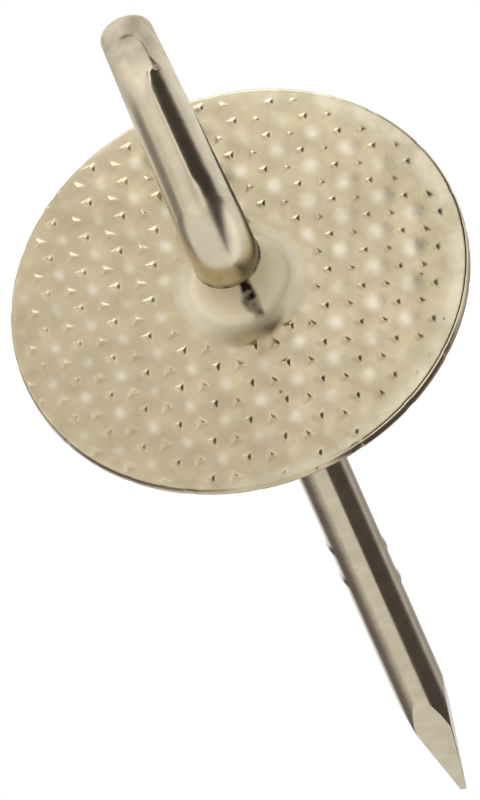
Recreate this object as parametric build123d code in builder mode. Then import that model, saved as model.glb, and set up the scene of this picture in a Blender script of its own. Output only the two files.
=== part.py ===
# Plate hanger: a hook nail bent from one wire, driven through its own round, embossed wall plate.
# Lengths are in millimetres and angles in degrees. The wall is the plane y = 0. The nail runs into it
# along +Y, the arm stands up along +Z, and the origin is the middle of the plate's rim on the wall.

import math
import os

from build123d import *

os.makedirs("parts", exist_ok=True)

# Wire of the hook nail
shank_d = 2.2  # straight nail behind the plate
nail_reach = 40.3  # wall to the blunt end of the nail
shank_shift = 0.16  # how far to the right of the arm and the shoulder the shank runs
shoulder_d = 2.8  # upset part that sits on the collar
knuckle_d = 2.86  # ball at the outside of the bend, and the foot of the arm
arm_tip_d = 2.24  # free end of the tapering arm
arm_top = 11.45  # end of the arm above the nail's axis
arm_end_round = 0.3  # tumbled edge of the arm's end
arm_flat_from = 8.1  # where the flat pressed into the arm's front begins, above the nail's axis
arm_flat_depth = 0.14  # at the arm's end
bend_reach = 1.5  # collar's rim to the arm's centre line

# Cut point of the nail: four long flats
point_sides = 4
point_slope = 6.3  # each flat's angle to the nail's axis
point_turn = -15  # first flat, turned from +X towards +Z
blunt_w = 0.25  # width left across the flats at the very end

# Ridges left on both sides of the shank by the jaws that gripped the wire
grip_first = 19.0  # wall to the first ridge on the left side
grip_pitch = 2.57
grip_stagger = 1.42  # how much farther along the ridges of the right side are
grip_count = 2
grip_length = 0.85
grip_height = 0.07
grip_crest = 0.6  # where along a ridge its crest lies
grip_across = 0.6
grip_root = 0.2  # how deep a ridge is rooted in the wire

# Sheet of the wall plate
plate_d = 19.3
sheet_t = 0.5
dish_rise = 0.45  # how far the middle stands in front of the rim
land_w = 0.7  # flat ring behind the rim that bears on the wall

# Collar drawn from the middle of the plate
collar_h = 1.95  # rim of the collar in front of the plate's middle
collar_wall = 0.35  # at the rim
collar_flare_h = 0.75  # height over which the foot spreads
collar_foot_d = 4.0
neck_swell = 0.08  # how much wider the collar is above the flare than at its rim
collar_root = 0.15  # how deep the collar's section reaches into the sheet
bore_clearance = 0.02  # round the wire
bore_entry = 0.3  # bevel along the inner edge of the flat ring, where the hollow behind the bore begins

# Embossing: small three-sided studs in a honeycomb, every second one turned half round
stud_pitch = 1.716  # between studs that are turned alike
stud_turn = 6.7  # first row, turned from +X towards +Z
stud_shift_x = -0.06  # middle of the honeycomb cell nearest to the middle of the plate
stud_shift_z = 0.31
stud_corner_r = 0.26  # middle of a stud to its corners
stud_slope = 22  # of its sides, to the sheet
stud_h = 0.045
stud_root = 0.03  # how deep a stud is rooted in the sheet
plain_d = 5.8  # no stud stands inside this ring round the collar
studded_d = 18.5  # ring that holds all the studs
studded_shift = -0.45  # middle of that ring, to the left of the plate's: the right edge stays plain

# Levels and radii that follow from the sizes
shank_r = shank_d / 2
shoulder_r = shoulder_d / 2
knuckle_r = knuckle_d / 2
plate_r = plate_d / 2
land_r = plate_r - land_w
bore_r = shank_r + bore_clearance
rim_r = bore_r + collar_wall
plate_depth = sheet_t + dish_rise
front_y = -plate_depth
seat_y = front_y - collar_h
arm_y = seat_y - bend_reach
shank_origin = (shank_shift, 0, 0)
shank_plane = Plane(origin=shank_origin, x_dir=(1, 0, 0), z_dir=(0, 0, 1))
arm_r_at_flat = knuckle_r + (arm_tip_d / 2 - knuckle_r) * arm_flat_from / arm_top

# Hook nail: shoulder turned about a lying axis, shank drawn beside that axis, arm and knuckle turned upright
with BuildPart() as hook_nail:
    with BuildSketch(Plane.XY):
        with BuildLine():
            Polyline(
                (0, arm_y),
                (shoulder_r, arm_y),
                (shoulder_r, seat_y),
                (0, seat_y),
                close=True,
            )
        make_face()
    revolve(axis=Axis.Y)
    with BuildSketch(Plane.XZ.offset(-nail_reach)):
        with Locations((shank_shift, 0)):
            Circle(shank_r)
    extrude(amount=nail_reach - seat_y)
    with BuildSketch(Plane.XZ.offset(-arm_y)) as arm_half:
        with BuildLine():
            CenterArc((0, 0), knuckle_r, -90, 90)
            Polyline((knuckle_r, 0), (arm_tip_d / 2, arm_top), (0, arm_top), (0, -knuckle_r))
        make_face()
        fillet(arm_half.vertices().sort_by(Axis.Z).sort_by(SortBy.DISTANCE)[-1:], arm_end_round)
    revolve(axis=Axis((0, arm_y, 0), (0, 0, 1)))
    # Flat pressed into the front of the arm, deepening towards its end
    with BuildSketch(Plane.YZ):
        with BuildLine():
            Polyline(
                (arm_y - knuckle_r, arm_flat_from),
                (arm_y - arm_r_at_flat, arm_flat_from),
                (arm_y - arm_tip_d / 2 + arm_flat_depth, arm_top),
                (arm_y - knuckle_r, arm_top),
                close=True,
            )
        make_face()
    extrude(amount=knuckle_r, both=True, mode=Mode.SUBTRACT)
    # Ridges: the left side first, then the right one, a step farther along
    for side, start in ((-1, grip_first), (1, grip_first + grip_stagger)):
        for turn in range(grip_count):
            ridge_y = start + turn * grip_pitch
            with BuildSketch(shank_plane):
                with BuildLine():
                    Polyline(
                        (side * (shank_r - grip_root), ridge_y),
                        (side * shank_r, ridge_y),
                        (side * (shank_r + grip_height), ridge_y + grip_length * grip_crest),
                        (side * shank_r, ridge_y + grip_length),
                        (side * (shank_r - grip_root), ridge_y + grip_length),
                        close=True,
                    )
                make_face()
            extrude(amount=grip_across / 2, both=True)
    # Point: a wedge is taken off along each flat
    flat_planes = []
    for turn in range(point_sides):
        angle = math.radians(point_turn + turn * 360 / point_sides)
        across = (math.cos(angle), 0, math.sin(angle))
        normal = (-math.sin(angle), 0, math.cos(angle))
        flat_planes.append(Plane(origin=shank_origin, x_dir=across, z_dir=normal))
    wedge_length = (shank_d - blunt_w / 2) / math.tan(math.radians(point_slope))
    with BuildSketch(*flat_planes):
        with BuildLine():
            Polyline(
                (blunt_w / 2, nail_reach),
                (shank_d, nail_reach),
                (shank_d, nail_reach - wedge_length),
                close=True,
            )
        make_face()
    extrude(amount=shank_d, both=True, mode=Mode.SUBTRACT)

hook_nail.part.label = "hook_nail"
export_step(hook_nail.part, "parts/hook_nail.step")

# One stud: a blunt three-sided point whose corners spread as it goes down into the sheet
corner_spread = 2 / math.tan(math.radians(stud_slope))
stud_root_r = stud_corner_r + stud_root * corner_spread
stud_tip_r = stud_corner_r - stud_h * corner_spread
with BuildPart() as stud:
    with BuildSketch(Plane.XY.offset(-stud_root)):
        RegularPolygon(stud_root_r, 3)
    with BuildSketch(Plane.XY.offset(stud_h)):
        RegularPolygon(stud_tip_r, 3)
    loft(ruled=True)

# Studs: seats on the dished front, one third and two thirds of the way across each cell of the honeycomb
dish_r = (plate_r**2 + dish_rise**2) / (2 * dish_rise)
hollow_r = (land_r**2 + dish_rise**2) / (2 * dish_rise)
row_a = math.radians(stud_turn)
row_b = row_a + math.radians(60)
reach = math.ceil(plate_d / stud_pitch)
stud_seats = []
for i in range(-reach, reach + 1):
    for j in range(-reach, reach + 1):
        for third, corner in ((1, row_a + math.radians(90)), (2, row_a + math.radians(30))):
            along_a = stud_pitch * (i + third / 3)
            along_b = stud_pitch * (j + third / 3)
            x = stud_shift_x + along_a * math.cos(row_a) + along_b * math.cos(row_b)
            z = stud_shift_z + along_a * math.sin(row_a) + along_b * math.sin(row_b)
            out = math.hypot(x, z)
            studded = math.hypot(x - studded_shift, z) < studded_d / 2
            if studded and plain_d / 2 < out < plate_r - stud_root_r:
                facing = Vector(x, -math.sqrt(dish_r**2 - out**2), z).normalized()
                seat = Vector(0, front_y + dish_r, 0) + facing * dish_r
                towards = Vector(math.cos(corner), 0, math.sin(corner))
                stud_seats.append(Plane(origin=seat, x_dir=towards, z_dir=facing))

# Wall plate: dished sheet with a bore, then the embossing, then the collar
with BuildPart() as wall_plate:
    with BuildSketch(Plane.XZ):
        Circle(plate_r)
    extrude(amount=plate_depth)
    with Locations((0, front_y + dish_r, 0)):
        Sphere(dish_r, mode=Mode.INTERSECT)
    with Locations((0, hollow_r - dish_rise, 0)):
        Sphere(hollow_r, mode=Mode.SUBTRACT)
    with BuildSketch(Plane.XZ):
        with Locations((shank_shift, 0)):
            Circle(bore_r)
    extrude(amount=plate_depth, mode=Mode.SUBTRACT)
    ring_edge = wall_plate.edges().filter_by(GeomType.CIRCLE).sort_by_distance((land_r, 0, 0))[:1]
    chamfer(ring_edge, bore_entry)
    with Locations(*stud_seats):
        add(stud.part)
    with BuildSketch(shank_plane):
        with BuildLine():
            neck = Line((rim_r, seat_y), (rim_r + neck_swell, front_y - collar_flare_h))
            flare = TangentArc(neck @ 1, (collar_foot_d / 2, front_y + collar_root), tangent=neck % 1)
            Polyline(flare @ 1, (bore_r, front_y + collar_root), (bore_r, seat_y), neck @ 0)
        make_face()
    revolve(axis=Axis(shank_origin, (0, 1, 0)))

wall_plate.part.label = "wall_plate"
export_step(wall_plate.part, "parts/wall_plate.step")
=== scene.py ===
"""Plate hanger: a brass-plated hook nail and the round, embossed wall plate that it is driven through.

Shapes are worked out in millimetres, in the frame of the solids, and put into the meshes in metres.
The wall is the plane y = 0, the nail runs into it along +Y, and the arm stands up along +Z.
A span is a pair of numbers: where a soft step begins, and where it is full.
"""

import math

import bpy
import numpy as np
from mathutils import Matrix, Vector


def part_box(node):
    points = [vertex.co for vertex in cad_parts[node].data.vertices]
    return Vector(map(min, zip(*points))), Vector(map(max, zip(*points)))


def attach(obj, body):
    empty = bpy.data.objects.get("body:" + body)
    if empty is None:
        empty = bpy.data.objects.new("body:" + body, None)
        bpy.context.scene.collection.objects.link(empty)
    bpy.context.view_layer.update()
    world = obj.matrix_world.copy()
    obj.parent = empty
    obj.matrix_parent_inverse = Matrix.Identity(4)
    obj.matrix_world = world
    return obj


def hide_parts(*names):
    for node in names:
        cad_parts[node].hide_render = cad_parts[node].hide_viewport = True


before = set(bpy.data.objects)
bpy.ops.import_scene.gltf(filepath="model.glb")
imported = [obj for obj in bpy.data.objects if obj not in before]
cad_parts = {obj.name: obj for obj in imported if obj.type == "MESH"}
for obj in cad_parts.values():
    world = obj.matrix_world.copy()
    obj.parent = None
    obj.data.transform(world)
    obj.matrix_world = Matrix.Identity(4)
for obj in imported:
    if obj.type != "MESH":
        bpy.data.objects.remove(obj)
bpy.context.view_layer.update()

MM = 0.001
hook_low, hook_high = (np.array(corner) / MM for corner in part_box("hook_nail"))
plate_low, plate_high = (np.array(corner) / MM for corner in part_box("wall_plate"))
quarter = math.pi / 2

# Hook nail, in millimetres
shank_r = 1.1
shank_shift = 0.16
shoulder_r = 1.4
seat_y = plate_low[1]
seat_round = 0.07
seat_tilt, seat_high = 0.3, math.radians(40)
nail_end = hook_high[1]
point_flats = 4
point_length = 9.5
point_slope = math.radians(6.3)
point_turn = math.radians(-15)
blunt_half = 0.125
arm_foot_r = hook_high[0]
arm_tip_r = 1.12
arm_top = hook_high[2]
arm_end_round = 0.42
arm_y = hook_low[1] + arm_foot_r
bend_r = seat_y - arm_y
bend_blend = 0.2
elbow_r = 0.98
elbow_y = arm_y + elbow_r
keel_height, keel_width, keel_soft = 0.055, 0.3, 0.04
keel_rise, keel_fall = (1.6, 2.6), (7.5, 8.3)

# Pressed end of the arm: a shallow flat, which starts lower on the left, inside a crease that runs up the
# arm's right side and over to the left
press_from, press_full, press_depth = 8.1, 8.4, 0.1
press_lead, press_lead_span = 1.8, (-0.35, 0.5)
crease_x, crease_z, crease_across, crease_up = -0.33, 8.2, 0.85, 2.1
crease_width, crease_depth, crease_soft = 0.035, 0.05, 0.03
crease_fade = (crease_x - 0.1, crease_x + 0.2)
fold_width, fold_soft, fold_reach, fold_height = 0.06, 0.1, 0.3, 0.9

# Ridges of the gripping jaws: side, and distance from the wall
ridge_places = ((-1, 19.0), (-1, 21.57), (1, 20.42), (1, 22.99))
ridge_length, ridge_crest = 0.85, 0.6
ridge_height = 0.07
ridge_across = 0.4

# Rings of the hook nail, and points in each of them
hook_columns = 160
point_rings, shank_rings, bend_rings, arm_rings, end_rings = 130, 200, 60, 170, 9
corner_rings = 6

# Search for the hook's surface: how far out it goes, in bend radii, and how often it halves. Then the least
# values that a slope and a lean are divided by
search_reach, search_halvings = 1.6, 40
least_slope, least_lean = 0.1, 0.05

# Finish of the hook nail: painted shade above the seat, growing darker towards it, with a dark line where it
# meets the collar, a softer elbow, painted light on the right side, and a worn, mottled end of the arm, which
# turns matt at once beside the crease and little by little elsewhere
seat_shade, seat_shade_span = 0.1, (-0.9, -0.05)
seat_shade_line, seat_shade_line_span = 0.7, (-0.2, -0.08)
seat_margin = 0.01
# painted shade: how dark the crease's line and the fold at its lower end are made
crease_shade, fold_shade = 0.55, 0.8
end_stain, end_stain_span = 0.2, (8.4, 9.6)
end_matt, end_matt_span = 1.3, (6.0, 9.5)
beside_crease_x, beside_crease_w, beside_crease_span = 0.45, 0.35, (8.15, 8.3)
elbow_matt, elbow_matt_span = 0.35, (0.3, 1.5)
end_worn, end_worn_span = 0.9, (7.5, 9.0)
# painted light: the arm's right side is made lighter
lit_side_span, lit_side_from = (0.8, 1.15), 1.0

# Wall plate, in millimetres
plate_inset = 0.02
plate_r = plate_high[0] - plate_inset
sheet_t = 0.5
dish_rise = 0.45
dish_r = (plate_r**2 + dish_rise**2) / (2 * dish_rise)
middle_y = -(sheet_t + dish_rise)
rim_roll, rim_bevel = 0.12, 0.03
land_w = 0.7
ring_bevel = 0.3
bore_r, bore_lip = 1.12, 0.03
collar_rim_r, collar_rim_round = 1.29, 0.06
collar_foot_r = 2.2
nick_depth, nick_reach, nick_span = 0.02, 0.4, (0.6, 2.2)
nick_waves = ((23, 1.0), (41, 2.0), (67, 0.0))

# Rows of the wall plate's half-sections, and points round its front and its back
flare_rows, front_rows, hollow_rows = 18, 95, 12
front_columns, back_columns = 780, 260

# Embossing, in millimetres: three-sided studs in a honeycomb, with a cushion in each of its cells
stud_pitch = 1.716
stud_turn = math.radians(6.7)
stud_origin = (-0.06, 0.31)
stud_inset, stud_rise, stud_soft = 0.2, math.tan(math.radians(17)), 0.04
stud_fade, fade_span = 0.085, (-5.0, 8.0)
cushion_height = 0.032
# painted highlights on the cushion tops: their width and height on the left and on the right, their edge, and
# where they begin
highlight_left, highlight_right = (0.2, 0.3), (0.4, 0.4)
highlight_edge, highlight_span = 1.3, (0.2, 0.5)
embossed_span = (2.5, 3.5)
crescent_shift, crescent_r = 0.55, 9.25
cushion_end, stud_end = (-1.6, 0.2), (0.0, 0.35)

# Finish of the wall plate: the collar is matt and light, its rim is darkened with painted shade where the
# shoulder sits on it, a wavering streak below it is a painted dark reflection, and the plain crescent is worn
front_level = -0.6
collar_matt, collar_span = 1.5, (1.7, 2.9)
rim_shade, rim_shade_span = 0.7, (seat_y + 0.04, seat_y + 0.12)
streak_x, streak_half, streak_waver = 0.1, 0.27, 0.06
streak_sway, streak_swell, streak_end = 7, 9, (1.8, 2.3)
crescent_worn, crescent_span = 0.7, (-0.4, 0.5)

# Plating: colours and roughness of sheet and wire, then the patterns, with scales per metre and ramps as the
# values that a pattern goes from and to, and what they become
# the second, lighter colour of each is used for wear and for painted highlights and painted light
sheet_tint, sheet_worn_and_lit, sheet_roughness = (0.58, 0.495, 0.32), (0.83, 0.76, 0.60), 0.2
wire_tint, wire_worn_and_lit, wire_roughness = (0.60, 0.53, 0.38), (0.74, 0.67, 0.51), 0.16
matt_tint, matt_share, matt_roughness = (0.95, 0.87, 0.67), 0.75, 0.36
# the brown of stains and pits, also used for painted shade and a painted dark reflection
stain_and_shade_tint, stain_and_shade_roughness = (0.075, 0.042, 0.032), 0.2
cloud_scale, patch_scale, blotch_scale, pit_scale, grain_scale = 260.0, 900.0, 1500.0, 700.0, 4000.0
coarse_detail, fine_detail = 2.0, 3.0
pit_edge, pit_choice = (0.03, 0.07, 1.0, 0.0), (0.6, 0.62, 0.0, 0.7)
stain_and_shade_ragged = (0.38, 0.6, 0.5, 1.25)
tint_drift, tint_low, tint_high = (0.3, 0.7, 0.0, 1.0), 0.9, 1.1
mottle_blotch, mottle_patch = (0.3, 0.65, 0.6, 1.0), (0.35, 0.6, 0.45, 1.0)
gloss_span, gloss_low, gloss_high = (0.3, 0.7), 0.85, 1.2
grain_strength, grain_depth = 0.2, 0.00001

# View: the camera stands in front of the hook and below it, and is rolled. Lengths are in millimetres
view_tilt = math.radians(34.5)
view_roll = math.radians(24.0)
pixel = 0.04098
frame_w, frame_h = 480, 800
plate_px = (240.17, 290.40)
camera_distance = 900.0
sensor_w = 36.0

# Studio: the level all round, then cards. Each card has its level and its soft edges, and an edge is a
# direction in the camera's right, up and back, and where along it the card begins and is full
studio_level = 0.9
dark_warmth = (1.0, 0.86, 0.86)
studio_cards = (
    # dim patch above the camera, lighter right and left of it
    (0.8, (((-0.2, 0.68, 0.7), 0.93, 0.985),)),
    (1.25, (((1.0, 0.45, 0.0), -0.04, 0.14), ((0.0, 0.0, 1.0), 0.1, 0.25), ((0.0, 0.0, -1.0), -0.7, -0.5))),
    (1.1, (((-1.0, 0.0, 0.0), 0.56, 0.68), ((0.0, 0.0, 1.0), 0.0, 0.12), ((0.0, 1.0, 0.0), 0.3, 0.45))),
    # dark flags on the right, in front and behind
    (0.06, (((1.0, 0.45, 0.0), 0.19, 0.27), ((-1.0, 0.0, 0.0), -0.64, -0.5),
            ((0.0, 0.0, 1.0), -0.2, -0.05))),
    (0.1, (((1.0, 0.37, 0.0), 0.13, 0.2), ((0.0, 0.0, -1.0), 0.1, 0.22), ((0.0, -0.64, 1.0), -0.78, -0.45),
           ((0.0, -1.0, 0.0), -0.05, 0.08))),
    # dim left side, dim corners behind
    (0.28, (((-0.809, -0.587, 0.0), 0.56, 0.7), ((0.0, 0.0, -1.0), 0.08, 0.22))),
    (0.15, (((0.0, 0.0, -1.0), 0.5, 0.65), ((-1.0, 0.0, 0.0), 0.2, 0.35), ((0.0, -1.0, 0.0), 0.2, 0.4))),
    (0.4, (((0.0, 0.0, -1.0), 0.72, 0.84), ((1.0, 0.0, 0.0), 0.1, 0.3), ((0.0, -1.0, 0.0), -0.2, -0.08))),
    # gap behind the overhead softbox
    (0.1, (((-1.0, 0.0, 0.0), 0.38, 0.44), ((0.0, 0.0, -1.0), 0.16, 0.21), ((0.0, 0.0, 1.0), -0.38, -0.32),
           ((0.0, 1.0, 0.0), 0.6, 0.7))),
)

# Overhead softbox, as a direction like those of the cards, and the floor, in metres
overhead = (-0.30, 0.95, -0.10)
overhead_distance, overhead_across, overhead_deep, overhead_level = 2.0, 0.8, 0.55, 2.2
floor_drop, floor_reach, floor_tone, floor_roughness = 6.0, 200.0, 0.9, 0.9
clip_near, clip_far = 0.05, 100.0


def smooth_step(span, value):
    """0 before the span, 1 after it, and a soft S between."""
    low, high = span
    t = np.clip((value - low) / (high - low), 0.0, 1.0)
    return t * t * (3.0 - 2.0 * t)


def grid_faces(rows, columns):
    """Quads of a grid whose columns run round."""
    row = np.arange(rows - 1)[:, None]
    column = np.arange(columns)[None, :]
    after = (column + 1) % columns
    corners = (
        row * columns + column,
        row * columns + after,
        (row + 1) * columns + after,
        (row + 1) * columns + column,
    )
    return np.stack(corners, axis=-1).reshape(-1, 4)


def new_piece(name, points, faces, material, finish):
    """A smooth mesh piece at the origin, from points in millimetres and faces as rows of corners.

    The finish says, at each point, how much wear and painted highlights lighten the metal, how matt it is,
    and how much stains and painted shade darken it.
    """
    mesh = bpy.data.meshes.new(name)
    mesh.from_pydata((points * MM).tolist(), [], faces)
    mesh.polygons.foreach_set("use_smooth", np.ones(len(mesh.polygons), dtype=bool))
    layer = mesh.attributes.new("finish", "FLOAT_COLOR", "POINT")
    layer.data.foreach_set("color", np.column_stack([finish, np.ones(len(points))]).ravel())
    mesh.materials.append(material)
    mesh.update()
    piece = bpy.data.objects.new(name, mesh)
    bpy.context.scene.collection.objects.link(piece)
    return piece


def embossing(x, z):
    """Heights of the cushions, from 0 to 1, and of the studs, and the painted highlights on the cushions'
    tops.

    Three families of lines cross in the middles of the honeycomb's cells, one stud_pitch apart, and divide
    the plate into triangles. Three cosine waves, one for each family, add up to a cushion in each cell: their
    sum runs from -1.5 to 3. In the middle of each triangle stands a three-sided stud, as high as the distance
    to the nearest line lets it be. The studs get smaller towards the right. The painted highlights on the
    tops, found from the offset to the nearest crossing, get wider.
    """
    spacing = stud_pitch * math.sqrt(3) / 2
    fade = smooth_step(fade_span, x)
    waves = 0.0
    offsets = []
    inside = np.full(np.shape(x), np.inf)
    for turn in range(3):
        angle = stud_turn + math.radians(90 + 60 * turn)
        along = (x - stud_origin[0]) * math.cos(angle) + (z - stud_origin[1]) * math.sin(angle)
        phase = along / spacing
        waves = waves + np.cos(2 * math.pi * phase)
        offsets.append((phase - np.round(phase)) * spacing)
        inside = np.minimum(inside, np.abs(offsets[-1]))
    past = inside - (spacing / 3 - stud_inset + stud_fade * fade)
    stud = stud_rise * 0.5 * (past + np.sqrt(past**2 + stud_soft**2))
    cushion = (waves + 1.5) / 4.5
    across = (offsets[1] + offsets[2]) / math.sqrt(3)
    width = highlight_left[0] + (highlight_right[0] - highlight_left[0]) * fade
    height = highlight_left[1] + (highlight_right[1] - highlight_left[1]) * fade
    from_top = (across / width) ** 2 + (offsets[0] / height) ** 2
    wear_and_painted_light = np.exp(-(from_top**highlight_edge)) * smooth_step(highlight_span, cushion)
    return cushion, stud, wear_and_painted_light


def seat_drop(angle):
    """How far the seat between the shoulder and the collar lies towards the wall: it is tilted, and farthest
    from the wall at seat_high, an angle from +X to +Z."""
    return seat_tilt * (0.5 - 0.5 * np.cos(angle - seat_high))


def front_profile():
    """Half-section of the plate's front as (radius, y, share of the embossing), from the collar outwards.

    It goes over the collar's rim and down its flare, a quarter of an ellipse, out along the dished front, and
    round the rolled rim to the back.
    """
    steps = []

    def run(radius, y, share):
        steps.append(np.stack(np.broadcast_arrays(np.atleast_1d(radius), y, share), axis=-1))

    turn = np.linspace(0, quarter, corner_rings)
    top_y = seat_y + collar_rim_round
    run(bore_r, seat_y, 0.0)
    run(collar_rim_r - collar_rim_round * (1 - np.sin(turn)), top_y - collar_rim_round * np.cos(turn), 0.0)
    foot_y = middle_y + collar_foot_r**2 / (2 * dish_r)
    spread = np.linspace(0, quarter, flare_rows)[1:]
    run(
        collar_rim_r + (collar_foot_r - collar_rim_r) * (1 - np.cos(spread)),
        top_y + (foot_y - top_y) * np.sin(spread),
        0.0,
    )
    front_r = np.linspace(collar_foot_r, plate_r - rim_roll, front_rows)[1:]
    front_y = middle_y + front_r**2 / (2 * dish_r)
    run(front_r, front_y, smooth_step(embossed_span, front_r))
    roll = turn[1:]
    run(
        plate_r - rim_roll * (1 - np.sin(roll)),
        front_y[-1] + rim_roll * (1 - np.cos(roll)),
        np.sqrt(np.cos(roll)),
    )
    run(plate_r, np.linspace(-sheet_t + rim_roll, -rim_bevel, 3)[1:], 0.0)
    run(plate_r - rim_bevel, 0.0, 0.0)
    return np.concatenate(steps)


def back_profile():
    """Half-section of the plate's back as (radius, y, 0), from the rim inwards: the flat ring, its bevel, the
    hollow and the bore."""
    land_r = plate_r - land_w
    hollow_r = np.append(np.linspace(land_r - ring_bevel, bore_r + bore_lip, hollow_rows), bore_r)
    hollow_y = -dish_rise * (1 - (hollow_r / land_r) ** 2)
    radius = np.concatenate([[plate_r - rim_bevel, land_r + ring_bevel], hollow_r, [bore_r]])
    y = np.concatenate([[0.0, 0.0], hollow_y, [seat_y]])
    return np.stack([radius, y, 0 * y], axis=-1)


def make_plate(name, profile, columns, material):
    """A side of the wall plate: its half-section carried round, with nicks in the rim, the front raised by
    the embossing, and the middle moved over to the nail and tilted with the seat."""
    radius, y, share = (part[:, None] for part in profile.T)
    angle = np.linspace(0, 2 * math.pi, columns, endpoint=False)[None, :]
    chips = sum(np.sin(count * angle + start) for count, start in nick_waves)
    nick = nick_depth * smooth_step(nick_span, chips) * smooth_step((plate_r - nick_reach, plate_r), radius)
    x = (radius - nick) * np.cos(angle)
    z = (radius - nick) * np.sin(angle)
    beyond = np.hypot(x + crescent_shift, z) - crescent_r
    cushion, stud, wear_and_painted_light = embossing(x, z)
    soft_share = share * (1.0 - smooth_step(cushion_end, beyond))
    stud_share = share * (1.0 - smooth_step(stud_end, beyond))
    in_front = y < front_level
    collar = (1.0 - smooth_step(collar_span, radius)) * in_front
    plain = crescent_worn * share * smooth_step(crescent_span, beyond)
    # lighter: painted highlights on the cushion tops, the matt collar, and the worn crescent
    wear_and_painted_light = np.maximum(soft_share * wear_and_painted_light, np.maximum(collar, plain))
    # painted dark reflection: a wavering streak on the collar's lower side
    sway = streak_x + streak_waver * np.sin(streak_sway * radius)
    aside = (x - sway) / (streak_half + streak_waver * np.sin(streak_swell * radius))
    streak = np.exp(-(aside**4)) * (z < 0) * (1.0 - smooth_step(streak_end, radius)) * in_front
    # painted shade on the collar's rim, under the shoulder
    stained_and_shaded = np.maximum(streak, rim_shade * (1.0 - smooth_step(rim_shade_span, y)))
    lowered = seat_drop(angle) * np.clip((middle_y - y) / (middle_y - seat_y), 0.0, 1.0)
    y = y + lowered - soft_share * cushion_height * cushion - stud_share * stud
    x = x + shank_shift * (1.0 - smooth_step((collar_foot_r, 2 * collar_foot_r), radius))
    points = np.stack(np.broadcast_arrays(x, y, z), axis=-1).reshape(-1, 3)
    finish = np.stack(np.broadcast_arrays(wear_and_painted_light, collar_matt * collar, stained_and_shaded), axis=-1).reshape(-1, 3)
    faces = grid_faces(len(radius), columns)[:, ::-1]
    return new_piece(name, points, faces.tolist(), material, finish)


def crease_lines(x, z):
    """Where the arm's end is pressed: how far inside the crease a point lies, how much of the crease's line
    runs through it, and how much of the fold at the crease's lower end, whose darkness is painted shade.

    The crease is a quarter of a rounded box, whose distance is taken from its level and the level's slope.
    """
    across = np.maximum(x - crease_x, 0.0) / crease_across
    up = np.maximum(z - crease_z, 0.0) / crease_up
    level = (across**4 + up**4 + 1e-9) ** 0.25
    slope = np.hypot(across**3 / crease_across, up**3 / crease_up) / level**3
    distance = np.abs(level - 1.0) / np.maximum(slope, least_slope)
    above = z > crease_z
    line = np.exp(-((distance / crease_width) ** 2)) * above * smooth_step(crease_fade, x)
    inside = 1.0 - smooth_step((1.0 - crease_soft, 1.0 + crease_soft), level)
    edge = crease_x + crease_across
    fold_edge = edge + fold_reach * (1 - (z - crease_z) / fold_height)
    fold = smooth_step((edge - fold_width, edge), x) * smooth_step((0.0, fold_soft), fold_edge - x)
    return inside, line, fold * above


def hook_distance(point):
    """Signed distance, near the surface, of the hook: the upright arm with its keel and its pressed end, the
    elbow, which is the wire carried round a quarter turn, and the lying shoulder, blended where they meet."""
    x, y, z = np.moveaxis(point, -1, 0)
    front = y < arm_y
    arm_r = arm_foot_r + (arm_tip_r - arm_foot_r) * np.maximum(z, elbow_r) / arm_top
    bearing = np.sqrt(np.arctan2(x, arm_y - y) ** 2 + keel_soft**2)
    along = smooth_step(keel_rise, z) * (1.0 - smooth_step(keel_fall, z))
    keel = keel_height * np.exp(-bearing / keel_width) * along
    arm = np.hypot(x, y - arm_y) - arm_r - keel
    inside, line, _ = crease_lines(x, z)
    lead = press_lead * smooth_step(press_lead_span, -x)
    pressed = (z - press_from + lead) / (press_full - press_from + lead)
    press = smooth_step((0.0, 1.0), pressed) * inside * front
    arm = np.where(press > 0.0, np.maximum(arm, arm_y - y - arm_r + press * press_depth), arm)
    arm = arm + crease_depth * line * front
    elbow = np.hypot(np.hypot(y - elbow_y, z - elbow_r) - elbow_r, x) - shoulder_r
    far = arm_top
    arm = np.where(z < elbow_r, np.where(y < elbow_y, elbow, far), arm)
    shoulder = np.where(y < elbow_y, far, np.hypot(x, z) - shoulder_r)
    mix = np.clip(0.5 + 0.5 * (shoulder - arm) / bend_blend, 0.0, 1.0)
    return shoulder + (arm - shoulder) * mix - bend_blend * mix * (1.0 - mix)


def reach_out(centre, ray):
    """How far each ray goes from the wire's middle line to the hook's surface, found by halving."""
    low = np.zeros(ray.shape[:-1])
    high = np.full(ray.shape[:-1], bend_r * search_reach)
    for _ in range(search_halvings):
        half = (low + high) / 2
        inside = hook_distance(centre + ray * half[..., None]) < 0
        low = np.where(inside, half, low)
        high = np.where(inside, high, half)
    return low


def shank_reach(y, angle):
    """Radius of the nail at y and at an angle from +X to +Z: round wire, cut by the flats of the point, with
    the ridges of the gripping jaws on its sides."""
    radius = np.full(np.broadcast(y, angle).shape, shank_r)
    for side, start in ridge_places:
        along = (y - start) / ridge_length
        rise = np.clip(np.minimum(along / ridge_crest, (1 - along) / (1 - ridge_crest)), 0.0, 1.0)
        off = shank_r * np.sin(angle) / ridge_across
        facing = side * np.cos(angle) > 0
        radius = radius + ridge_height * rise * facing * np.exp(-(off**4))
    flat_half = blunt_half + (nail_end - y) * math.tan(point_slope)
    for turn in range(point_flats):
        lean = np.cos(angle - point_turn - turn * 2 * math.pi / point_flats)
        flat = np.where(lean > least_lean, flat_half / np.maximum(lean, least_lean), np.inf)
        radius = np.minimum(radius, flat)
    return radius


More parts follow.
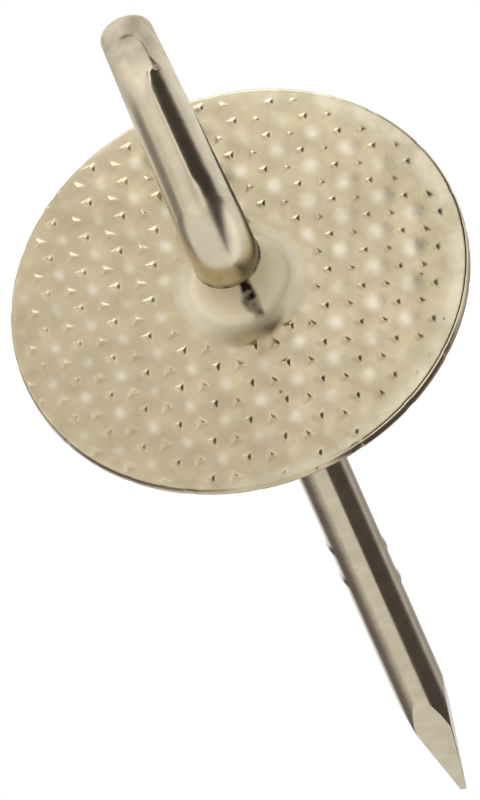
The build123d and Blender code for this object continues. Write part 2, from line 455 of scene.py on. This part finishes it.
def hook_finish(points):
    """How much wear and painted light lighten the wire, how matt it is, and how much a stain and painted
    shade darken it, at each point.
    """
    x, y, z = points.T
    front = y < arm_y
    seat = y - (seat_y + seat_drop(np.arctan2(z, x)))
    on_shoulder = (seat < seat_margin) & (np.hypot(x, z) > shank_r + ridge_height)
    # painted shade: darker towards the seat, and a dark line just above it, where the shoulder meets the
    # collar
    stained_and_shaded = seat_shade * smooth_step(seat_shade_span, seat) + seat_shade_line * smooth_step(seat_shade_line_span, seat)
    stained_and_shaded = np.where(on_shoulder, stained_and_shaded, 0.0)
    # painted shade in the crease's line and at its fold
    _, line, fold = crease_lines(x, z)
    stained_and_shaded = np.maximum(stained_and_shaded, np.where(front, np.maximum(crease_shade * line, fold_shade * fold), 0.0))
    stained_and_shaded = np.maximum(stained_and_shaded, end_stain * smooth_step(end_stain_span, z))
    beside = np.exp(-(((x - beside_crease_x) / beside_crease_w) ** 4)) * front
    matt = beside * smooth_step(beside_crease_span, z) + (1 - beside) * smooth_step(end_matt_span, z)
    elbow = (1.0 - smooth_step(elbow_matt_span, z)) * (y < seat_y + seat_tilt)
    matt = np.maximum(end_matt * matt, elbow_matt * elbow)
    # painted light on the arm's right side
    lit_side = smooth_step(lit_side_span, x) * (z > lit_side_from)
    wear_and_painted_light = np.maximum(end_worn * smooth_step(end_worn_span, z), lit_side)
    return np.column_stack([wear_and_painted_light, matt, stained_and_shaded])


def make_hook(material):
    """The hook nail: rings round the wire's middle line, from the nail's blunt end, through the shoulder and
    the bend, to the arm's end. Each ring's radius is worked out along its rays from the middle line."""
    turn = np.linspace(0, 2 * math.pi, hook_columns, endpoint=False)[None, :]
    across = np.array([1.0, 0.0, 0.0])
    upwards = np.array([0.0, 0.0, 1.0])
    rings = []

    def lying(y, radius, shift):
        ring = np.broadcast_arrays(shift + radius * np.sin(turn), y, radius * np.cos(turn))
        rings.append(np.stack(ring, axis=-1))

    point_y = np.linspace(nail_end, nail_end - point_length, point_rings)
    shank_y = np.linspace(nail_end - point_length, seat_y, shank_rings)[1:]
    nail_y = np.concatenate([point_y, shank_y])[:, None]
    lying(nail_y, shank_reach(nail_y, quarter - turn), shank_shift)
    corner = np.linspace(0, quarter, corner_rings)[:, None]
    seat = seat_y + seat_drop(quarter - turn)
    lying(seat - seat_round * (1 - np.cos(corner)), shoulder_r - seat_round * (1 - np.sin(corner)), 0.0)
    # bend, from just in front of the shoulder
    lean = np.linspace(0, quarter, bend_rings)[2:, None, None]
    inward = np.concatenate([0 * lean, np.sin(lean), np.cos(lean)], axis=-1)
    pivot = np.array([0.0, arm_y + bend_r, bend_r])
    centre = pivot - bend_r * inward
    ray = np.cos(turn)[..., None] * inward + np.sin(turn)[..., None] * across
    rings.append(centre + ray * reach_out(centre, ray)[..., None])
    # arm and its rounded end
    height = np.linspace(bend_r, arm_top - arm_end_round, arm_rings)[1:, None, None]
    centre = np.concatenate([0 * height, 0 * height + arm_y, height], axis=-1)
    ray = np.stack([np.sin(turn), np.cos(turn), 0 * turn], axis=-1)
    reach = reach_out(centre, ray)
    rings.append(centre + ray * reach[..., None])
    roll = np.linspace(0, quarter, end_rings)[1:, None, None]
    top = centre[-1:] + arm_end_round * np.sin(roll) * upwards
    rings.append(top + ray * (reach[-1:, :, None] - arm_end_round * (1 - np.cos(roll))))
    # fans that close both ends, each round a point of its own
    points = np.concatenate(rings).reshape(-1, 3)
    nail_tip, arm_tip = len(points), len(points) + 1
    column = np.arange(hook_columns)
    after = (column + 1) % hook_columns
    last_ring = nail_tip - hook_columns
    nail_fan = np.column_stack([0 * column + nail_tip, after, column])
    arm_fan = np.column_stack([0 * column + arm_tip, last_ring + column, last_ring + after])
    quads = grid_faces(len(points) // hook_columns, hook_columns)
    faces = quads.tolist() + nail_fan.tolist() + arm_fan.tolist()
    points = np.concatenate([points, [[shank_shift, nail_end, 0.0], [0.0, arm_y, arm_top]]])
    return new_piece("hook_nail_wire", points, faces, material, hook_finish(points))


def combine(tree, operation, *values):
    """A math node over sockets and numbers."""
    node = tree.nodes.new("ShaderNodeMath")
    node.operation = operation
    for socket, value in zip(node.inputs, values):
        if isinstance(value, (int, float)):
            socket.default_value = value
        else:
            tree.links.new(value, socket)
    return node.outputs["Value"]


def blend(tree, share, first, second):
    """A mix node from a first colour to a second one, each a socket or a tuple."""
    node = tree.nodes.new("ShaderNodeMix")
    node.data_type = "RGBA"
    tree.links.new(share, node.inputs["Factor"])
    for socket, value in ((node.inputs["A"], first), (node.inputs["B"], second)):
        if isinstance(value, tuple):
            socket.default_value = (*value, 1.0)
        else:
            tree.links.new(value, socket)
    return node.outputs["Result"]


def plating(name, colour, wear_and_painted_light, roughness):
    """Brass plating: metal whose tint and gloss drift softly, lighter where it is worn, where it is matt and
    where highlights are painted, and brown where it is stained and where shade is painted, with fine
    graininess and a few dark pits in its surface."""
    material = bpy.data.materials.new(name)
    material.use_nodes = True
    tree = material.node_tree
    nodes, links = tree.nodes, tree.links
    shader = nodes["Principled BSDF"]
    shader.inputs["Metallic"].default_value = 1.0
    place = nodes.new("ShaderNodeTexCoord")

    def noise(scale, detail):
        node = nodes.new("ShaderNodeTexNoise")
        node.inputs["Scale"].default_value = scale
        node.inputs["Detail"].default_value = detail
        links.new(place.outputs["Object"], node.inputs["Vector"])
        return node.outputs["Fac"]

    def ramp(value, low, high, start, end):
        node = nodes.new("ShaderNodeMapRange")
        for socket, number in zip(node.inputs[1:5], (low, high, start, end)):
            socket.default_value = number
        links.new(value, node.inputs["Value"])
        return node.outputs["Result"]

    def parts_of(colour_socket):
        node = nodes.new("ShaderNodeSeparateColor")
        links.new(colour_socket, node.inputs["Color"])
        return (node.outputs[part] for part in ("Red", "Green", "Blue"))

    layer = nodes.new("ShaderNodeAttribute")
    layer.attribute_name = "finish"
    wear_and_light_share, matt, stain_and_shade = parts_of(layer.outputs["Color"])
    cloud = noise(cloud_scale, fine_detail)
    blotch = noise(blotch_scale, fine_detail)
    patch = noise(patch_scale, coarse_detail)
    pit = nodes.new("ShaderNodeTexVoronoi")
    pit.inputs["Scale"].default_value = pit_scale
    links.new(place.outputs["Object"], pit.inputs["Vector"])
    chosen, _, _ = parts_of(pit.outputs["Color"])
    pitted = combine(tree, "MULTIPLY", ramp(pit.outputs["Distance"], *pit_edge), ramp(chosen, *pit_choice))
    ragged = combine(tree, "MULTIPLY", stain_and_shade, ramp(blotch, *stain_and_shade_ragged))
    mottle = combine(tree, "MULTIPLY", ramp(blotch, *mottle_blotch), ramp(patch, *mottle_patch))

    darker, lighter = (tuple(part * level for part in colour) for level in (tint_low, tint_high))
    tint = blend(tree, ramp(patch, *tint_drift), darker, lighter)
    tint = blend(tree, combine(tree, "MULTIPLY", wear_and_light_share, mottle), tint, wear_and_painted_light)
    tint = blend(tree, combine(tree, "MULTIPLY", matt, matt_share), tint, matt_tint)
    tint = blend(tree, combine(tree, "MAXIMUM", ragged, pitted), tint, stain_and_shade_tint)
    links.new(tint, shader.inputs["Base Color"])
    gloss = ramp(cloud, *gloss_span, roughness * gloss_low, roughness * gloss_high)
    gloss = combine(tree, "MULTIPLY_ADD", matt, matt_roughness, gloss)
    gloss = combine(tree, "MULTIPLY_ADD", ragged, stain_and_shade_roughness, gloss)
    links.new(gloss, shader.inputs["Roughness"])
    bump = nodes.new("ShaderNodeBump")
    bump.inputs["Strength"].default_value = grain_strength
    bump.inputs["Distance"].default_value = grain_depth
    links.new(noise(grain_scale, coarse_detail), bump.inputs["Height"])
    links.new(bump.outputs["Normal"], shader.inputs["Normal"])
    return material


def view_axes():
    """The camera's right, up and backward directions, from its tilt below the nail's axis and its roll."""
    right = Vector((1.0, 0.0, 0.0))
    up = Vector((0.0, -math.sin(view_tilt), math.cos(view_tilt)))
    back = Vector((0.0, -math.cos(view_tilt), -math.sin(view_tilt)))
    turned_right = right * math.cos(view_roll) - up * math.sin(view_roll)
    turned_up = right * math.sin(view_roll) + up * math.cos(view_roll)
    return turned_right, turned_up, back


def make_camera():
    """A long lens, so that the view is nearly without perspective, with the plate's middle at its pixel."""
    right, up, back = view_axes()
    data = bpy.data.cameras.new("camera")
    data.sensor_width = sensor_w
    data.lens = sensor_w * camera_distance / (frame_h * pixel)
    data.clip_start, data.clip_end = clip_near, clip_far
    camera = bpy.data.objects.new("camera", data)
    bpy.context.scene.collection.objects.link(camera)
    plate_middle = Vector((0.0, -sheet_t / 2, 0.0))
    aim = plate_middle + pixel * (
        right * (frame_w / 2 - plate_px[0]) - up * (frame_h / 2 - plate_px[1])
    )
    turn = Matrix((right, up, back)).transposed().to_4x4()
    camera.matrix_world = Matrix.Translation((aim + back * camera_distance) * MM) @ turn
    bpy.context.scene.camera = camera


def make_world():
    """White to the camera. To everything else it is a pale studio, from light and dark cards all round.

    Each card is a product of soft steps along directions given by the camera's right, up and back. The darker
    the studio is, the warmer.
    """
    right, up, back = view_axes()
    world = bpy.data.worlds.new("studio")
    bpy.context.scene.world = world
    world.use_nodes = True
    tree = world.node_tree
    nodes, links = tree.nodes, tree.links
    place = nodes.new("ShaderNodeTexCoord")

    def step(across, low, high):
        dot = nodes.new("ShaderNodeVectorMath")
        dot.operation = "DOT_PRODUCT"
        dot.inputs[1].default_value = right * across[0] + up * across[1] + back * across[2]
        links.new(place.outputs["Generated"], dot.inputs[0])
        ramp = nodes.new("ShaderNodeMapRange")
        ramp.interpolation_type = "SMOOTHSTEP"
        ramp.inputs["From Min"].default_value = low
        ramp.inputs["From Max"].default_value = high
        links.new(dot.outputs["Value"], ramp.inputs["Value"])
        return ramp.outputs["Result"]

    def card(edges):
        mask = step(*edges[0])
        for edge in edges[1:]:
            mask = combine(tree, "MULTIPLY", mask, step(*edge))
        return mask

    def laid_over(level, card_level, mask):
        change = combine(tree, "SUBTRACT", card_level, level)
        return combine(tree, "MULTIPLY_ADD", mask, change, level)

    level = combine(tree, "ADD", studio_level, 0.0)
    for card_level, edges in studio_cards:
        level = laid_over(level, card_level, card(edges))
    path = nodes.new("ShaderNodeLightPath")
    seen = combine(tree, "MAXIMUM", path.outputs["Is Camera Ray"], path.outputs["Is Transmission Ray"])
    level = laid_over(level, 1.0, seen)
    background = nodes["Background"]
    links.new(level, background.inputs["Strength"])
    links.new(blend(tree, level, dark_warmth, (1.0, 1.0, 1.0)), background.inputs["Color"])


def make_softbox():
    """The overhead softbox: an oblong lamp that faces the hook, as bright as its level all over."""
    right, up, back = view_axes()
    towards = (right * overhead[0] + up * overhead[1] + back * overhead[2]).normalized()
    data = bpy.data.lights.new("overhead_softbox", "AREA")
    data.shape = "RECTANGLE"
    data.size, data.size_y = overhead_across, overhead_deep
    data.energy = overhead_level * math.pi * overhead_across * overhead_deep
    lamp = bpy.data.objects.new("overhead_softbox", data)
    bpy.context.scene.collection.objects.link(lamp)
    side = (right - towards * right.dot(towards)).normalized()
    turn = Matrix((side, towards.cross(side), towards)).transposed().to_4x4()
    lamp.matrix_world = Matrix.Translation(towards * overhead_distance) @ turn
    lamp.visible_camera = False


def make_floor():
    """A wide, pale floor far below the hook. The metal doesn't show it."""
    material = bpy.data.materials.new("floor")
    material.use_nodes = True
    shader = material.node_tree.nodes["Principled BSDF"]
    shader.inputs["Base Color"].default_value = (floor_tone, floor_tone, floor_tone, 1.0)
    shader.inputs["Roughness"].default_value = floor_roughness
    mesh = bpy.data.meshes.new("floor")
    corners = [(-1, -1), (1, -1), (1, 1), (-1, 1)]
    points = [(x * floor_reach, y * floor_reach, -floor_drop) for x, y in corners]
    mesh.from_pydata(points, [], [(0, 1, 2, 3)])
    mesh.materials.append(material)
    floor = bpy.data.objects.new("floor", mesh)
    floor.visible_glossy = False
    bpy.context.scene.collection.objects.link(floor)


sheet_plating = plating("plated_sheet", sheet_tint, sheet_worn_and_lit, sheet_roughness)
wire_plating = plating("plated_wire", wire_tint, wire_worn_and_lit, wire_roughness)
for side in (
    make_plate("wall_plate_front", front_profile(), front_columns, sheet_plating),
    make_plate("wall_plate_back", back_profile(), back_columns, sheet_plating),
):
    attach(side, "root")
    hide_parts("wall_plate")
hook = make_hook(wire_plating)
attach(hook, "root")
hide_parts("hook_nail")

make_camera()
make_world()
make_softbox()
make_floor()
bpy.context.scene.view_settings.view_transform = "Standard"
